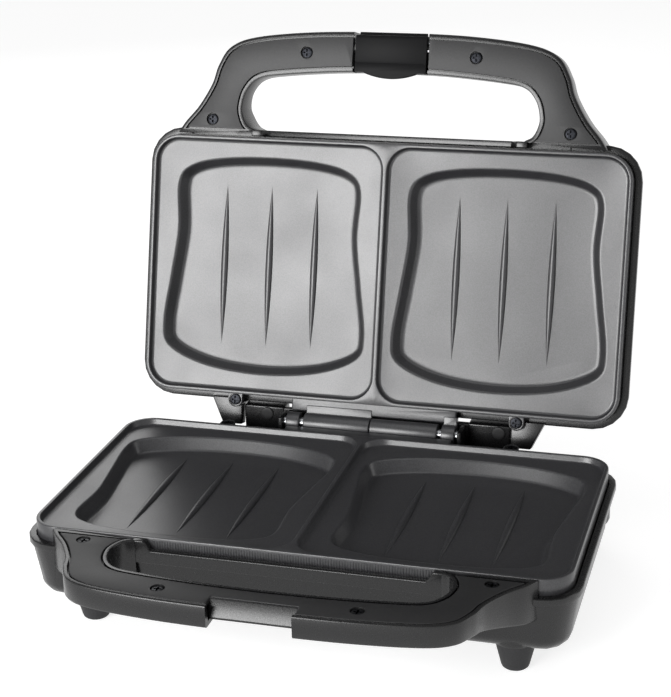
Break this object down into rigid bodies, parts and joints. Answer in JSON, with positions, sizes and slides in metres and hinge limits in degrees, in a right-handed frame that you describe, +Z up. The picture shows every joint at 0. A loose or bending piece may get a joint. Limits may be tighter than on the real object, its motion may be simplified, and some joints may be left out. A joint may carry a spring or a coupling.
{
  "type": "sandwich toaster",
  "caption": "Countertop sandwich toaster with a hinged lid, pocketed non-stick plates above and below, loop handles and a fold-out clip latch, shown open.",
  "frame": {"origin": "centre of the bounding box's bottom face: on the worktop, under the middle of the part with its lid open", "axes": "+X to the right seen from the handles, +Y from the handles towards the hinge, +Z up"},
  "size_m": [0.2784, 0.2906, 0.263],
  "materials": {
    "black_plastic": "satin, lightly grained",
    "grey_plastic": "fine grain",
    "latch_plastic": "satin",
    "nonstick_metal": "dark non-stick coating",
    "heater_steel": "heat-darkened",
    "bright_steel": "brushed",
    "screw_steel": "dull zinc",
    "pin_steel": "ground",
    "foot_rubber": "matte",
    "ceramic": "unglazed",
    "wire_sleeve": "woven sleeve",
    "red_lens": "clear red",
    "green_lens": "clear green",
    "lamp_glass": "clear"
  },
  "bodies": {
    "base": {"base_housing": "black_plastic", "base_plate": "nonstick_metal", "base_heater": "heater_steel", "base_heat_shield": "bright_steel", "base_shield_screws": "screw_steel", "base_plate_screws": "screw_steel", "base_handle_cover": "grey_plastic", "base_handle_screws": "screw_steel", "base_tower_plugs": "grey_plastic", "base_terminal_block": "ceramic", "base_thermal_fuse": "ceramic", "base_wiring": "wire_sleeve", "cord_bush": "foot_rubber", "foot_front_left": "foot_rubber", "foot_front_right": "foot_rubber", "foot_rear_left": "foot_rubber", "foot_rear_right": "foot_rubber", "foot_screws": "screw_steel", "hinge_pin": "pin_steel"},
    "lid": {"lid_housing": "black_plastic", "lid_panel": "bright_steel", "lid_plate": "nonstick_metal", "lid_heater": "heater_steel", "lid_heat_shield": "bright_steel", "lid_shield_screws": "screw_steel", "lid_plate_screws": "screw_steel", "lid_handle_cover_left": "grey_plastic", "lid_handle_cover_right": "grey_plastic", "lid_handle_screws": "screw_steel", "lid_thermostat": "ceramic", "lid_power_lens": "red_lens", "lid_ready_lens": "green_lens", "lid_lamps": "lamp_glass", "lid_wiring": "wire_sleeve", "latch_pin": "pin_steel"},
    "latch_clip": {"latch": "latch_plastic"}
  },
  "joints": [
    {"name": "lid_hinge", "type": "hinge", "parent": "base", "child": "lid", "pos_m": [0, 0.07176, 0.0539], "axis": [1, 0, 0], "range_deg": [0, 105]},
    {"name": "latch_hinge", "type": "hinge", "parent": "lid", "child": "latch_clip", "pos_m": [0, 0.13271, 0.25705], "axis": [-1, 0, 0], "range_deg": [0, 115]}
  ]
}
